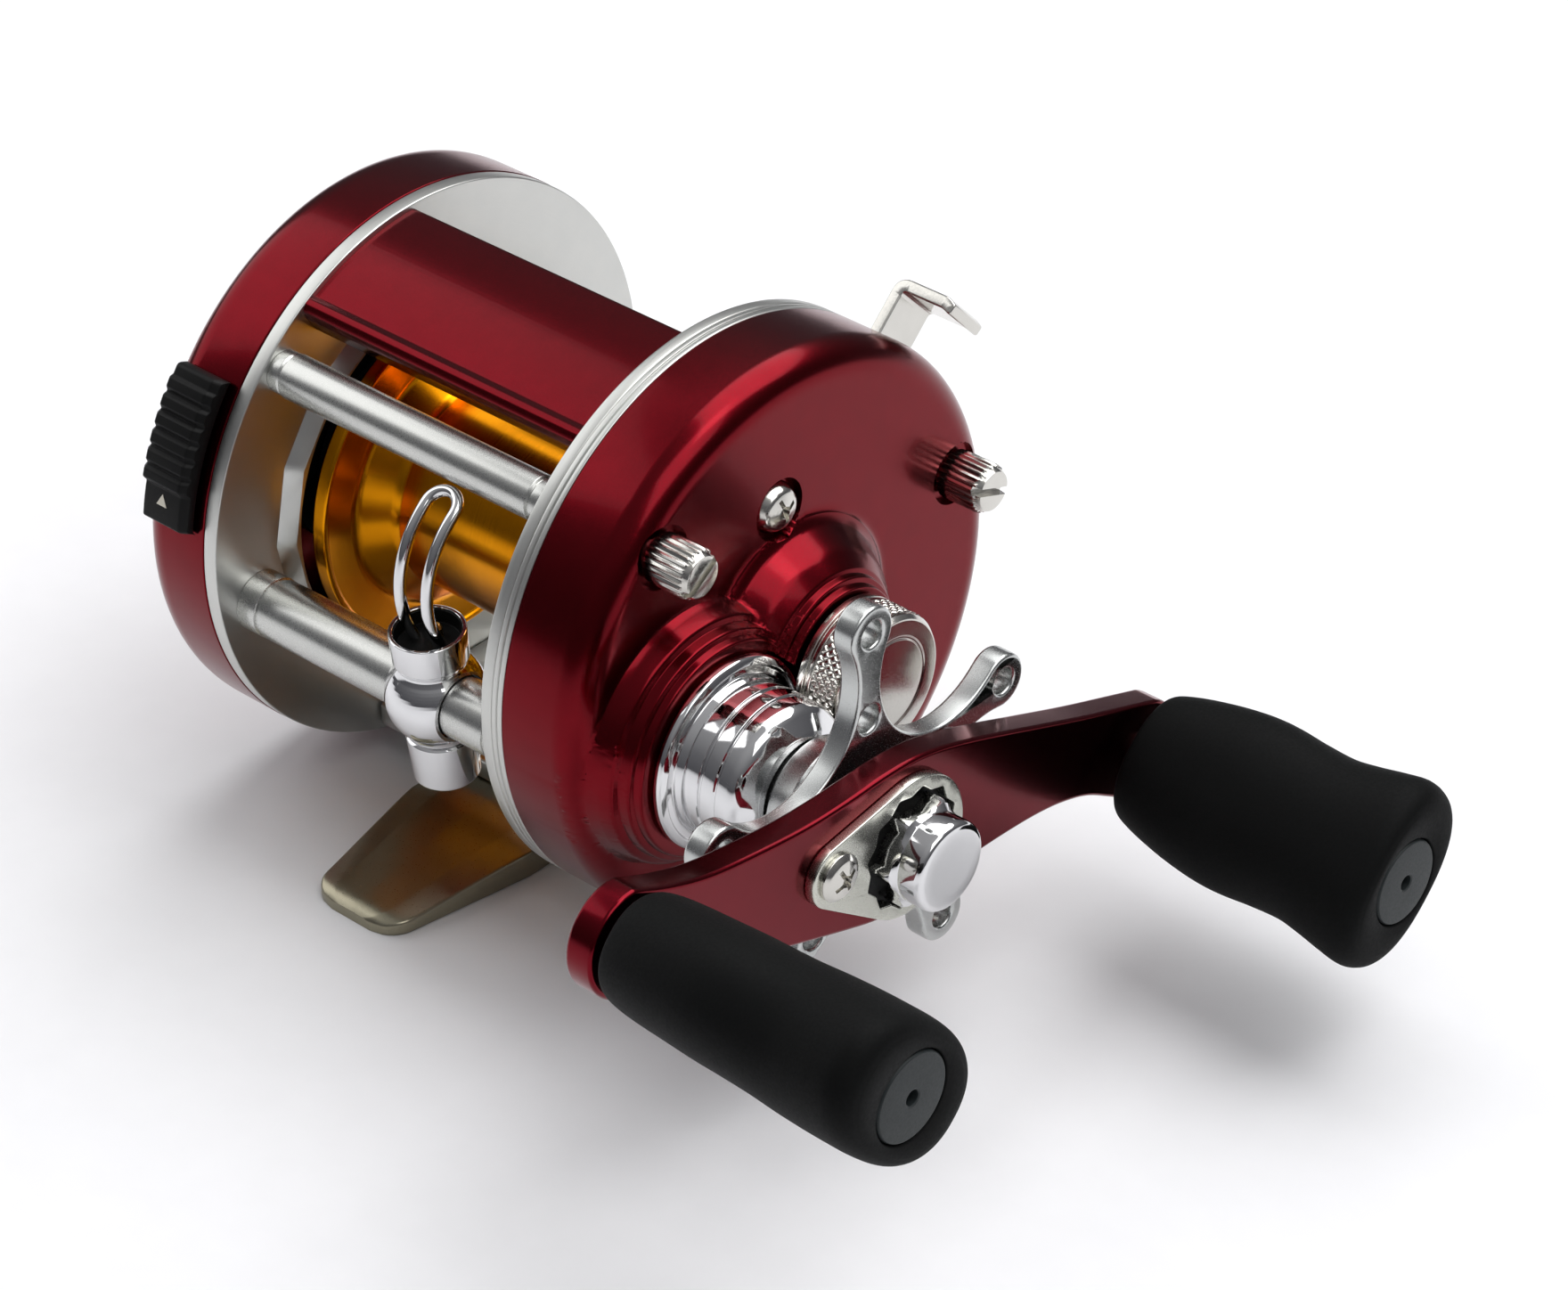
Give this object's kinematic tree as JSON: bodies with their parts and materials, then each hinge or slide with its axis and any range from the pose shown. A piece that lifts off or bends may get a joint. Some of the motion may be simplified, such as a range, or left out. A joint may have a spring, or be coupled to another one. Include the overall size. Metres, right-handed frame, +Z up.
{
  "type": "baitcasting reel",
  "caption": "Round baitcasting fishing reel with two domed side covers on a pillared frame, open spool, level wind, star drag and a straight double-knob crank.",
  "frame": {"origin": "centre of the foot's underside, where the reel sits on a rod", "axes": "+X along the spool axis toward the handle, -Y toward the line side and rod tip, +Z up off the rod"},
  "size_m": [0.1045, 0.0818, 0.0547],
  "materials": {
    "red_anodised": "satin red anodised aluminium",
    "red_arm": "gloss red anodised aluminium",
    "satin_aluminium": "fine machined satin aluminium",
    "chrome": "polished chrome plating",
    "bright_steel": "brushed stainless steel",
    "foot_steel": "satin stainless steel",
    "gold_anodised": "gloss gold anodised aluminium",
    "brass": "machined brass",
    "bearing_steel": "ground bearing steel",
    "black_rubber": "matte moulded rubber",
    "grey_plastic": "satin moulded plastic",
    "black_plastic": "matte moulded plastic",
    "nylon": "natural nylon",
    "drag_fibre": "woven fibre drag washer",
    "magnet": "nickel plated magnet"
  },
  "bodies": {
    "frame": {"frame_plate_gear": "satin_aluminium", "frame_plate_palm": "satin_aluminium", "thumb_hood": "red_anodised", "front_pillar": "satin_aluminium", "rear_pillar": "satin_aluminium", "foot_bridge": "foot_steel", "reel_foot": "foot_steel", "foot_rivets": "bright_steel", "trim_ring": "satin_aluminium", "palm_cup": "red_anodised", "palm_bearing_holder": "grey_plastic", "palm_bearing": "bearing_steel", "gear_cup": "red_anodised", "gear_set_plate": "bright_steel", "thumb_screws": "chrome", "cover_screw": "bright_steel", "levelwind_tube": "satin_aluminium", "worm_bushes": "nylon", "cap_bearing": "bearing_steel", "one_way_bearing": "bearing_steel", "shaft_housing": "chrome", "yoke_posts": "bright_steel", "yoke_springs": "bright_steel"},
    "spool": {"spool": "gold_anodised", "spool_shaft": "bright_steel", "clutch_pin": "bright_steel", "brake_inductor": "satin_aluminium"},
    "pinion": {"pinion": "brass"},
    "yoke": {"clutch_yoke": "bright_steel"},
    "clutch": {"clutch_lever": "bright_steel"},
    "brake_control": {"brake_slider": "black_plastic", "brake_ring": "grey_plastic"},
    "brake_carrier": {"magnet_carrier": "grey_plastic", "brake_magnets": "magnet"},
    "cast_control": {"cast_control_cap": "satin_aluminium", "cap_shims": "brass"},
    "crank": {"drive_shaft": "bright_steel", "main_gear": "brass", "levelwind_drive_gear": "nylon", "drag_washers": "drag_fibre", "bearing_sleeve": "bearing_steel", "handle_arm": "red_arm", "handle_nut": "chrome", "nut_retainer": "chrome", "retainer_screw": "bright_steel", "knob_posts": "bright_steel"},
    "star": {"star_drag": "satin_aluminium", "star_nut": "brass", "spring_washers": "bright_steel"},
    "front_knob": {"front_knob": "black_rubber", "front_knob_cap": "grey_plastic"},
    "rear_knob": {"rear_knob": "black_rubber", "rear_knob_cap": "grey_plastic"},
    "worm": {"worm_shaft": "bright_steel", "worm_gear": "nylon"},
    "line_carriage": {"carriage": "chrome", "pawl": "brass", "pawl_cap": "chrome", "line_guide": "bright_steel"}
  },
  "joints": [
    {"name": "handle_spin", "type": "hinge", "parent": "frame", "child": "crank", "pos_m": [0.048, -0.01333, 0.02529], "axis": [1, 0, 0], "continuous": true},
    {"name": "spool_spin", "type": "hinge", "parent": "frame", "child": "spool", "pos_m": [0, 0, 0.028], "axis": [1, 0, 0], "continuous": true},
    {"name": "yoke_lift", "type": "slide", "parent": "frame", "child": "yoke", "axis": [1, 0, 0], "range_m": [0, 0.0016]},
    {"name": "pinion_spin", "type": "hinge", "parent": "yoke", "child": "pinion", "pos_m": [0.022, 0, 0.028], "axis": [1, 0, 0], "continuous": true},
    {"name": "clutch_press", "type": "hinge", "parent": "frame", "child": "clutch", "pos_m": [0.0212, 0, 0.028], "axis": [1, 0, 0], "range_deg": [-14, 0]},
    {"name": "worm_spin", "type": "hinge", "parent": "frame", "child": "worm", "pos_m": [0, -0.02177, 0.02368], "axis": [1, 0, 0], "continuous": true},
    {"name": "levelwind_travel", "type": "slide", "parent": "frame", "child": "line_carriage", "axis": [1, 0, 0], "range_m": [-0.016, 0.0055]},
    {"name": "brake_dial", "type": "hinge", "parent": "frame", "child": "brake_control", "pos_m": [-0.021, 0, 0.028], "axis": [1, 0, 0], "range_deg": [-9, 9]},
    {"name": "brake_carrier_shift", "type": "slide", "parent": "frame", "child": "brake_carrier", "axis": [1, 0, 0], "range_m": [-0.0005, 0.0005]},
    {"name": "cast_control_turn", "type": "hinge", "parent": "frame", "child": "cast_control", "pos_m": [0.035, 0, 0.028], "axis": [1, 0, 0], "range_deg": [-180, 180]},
    {"name": "star_drag_turn", "type": "hinge", "parent": "crank", "child": "star", "pos_m": [0.045, -0.01333, 0.02529], "axis": [1, 0, 0], "range_deg": [-180, 180]},
    {"name": "front_knob_spin", "type": "hinge", "parent": "crank", "child": "front_knob", "pos_m": [0.065, -0.0451, 0.03321], "axis": [1, 0, 0], "continuous": true},
    {"name": "rear_knob_spin", "type": "hinge", "parent": "crank", "child": "rear_knob", "pos_m": [0.065, 0.01845, 0.01737], "axis": [1, 0, 0], "continuous": true}
  ],
  "couplings": [
    {"joint": "spool_spin", "follows": "handle_spin", "ratio": -5.1818},
    {"joint": "pinion_spin", "follows": "handle_spin", "ratio": -5.1818},
    {"joint": "worm_spin", "follows": "handle_spin", "ratio": -2.0714},
    {"joint": "yoke_lift", "follows": "clutch_press", "m_per_rad": -0.0065481},
    {"joint": "brake_carrier_shift", "follows": "brake_dial", "m_per_rad": 0.003183}
  ]
}
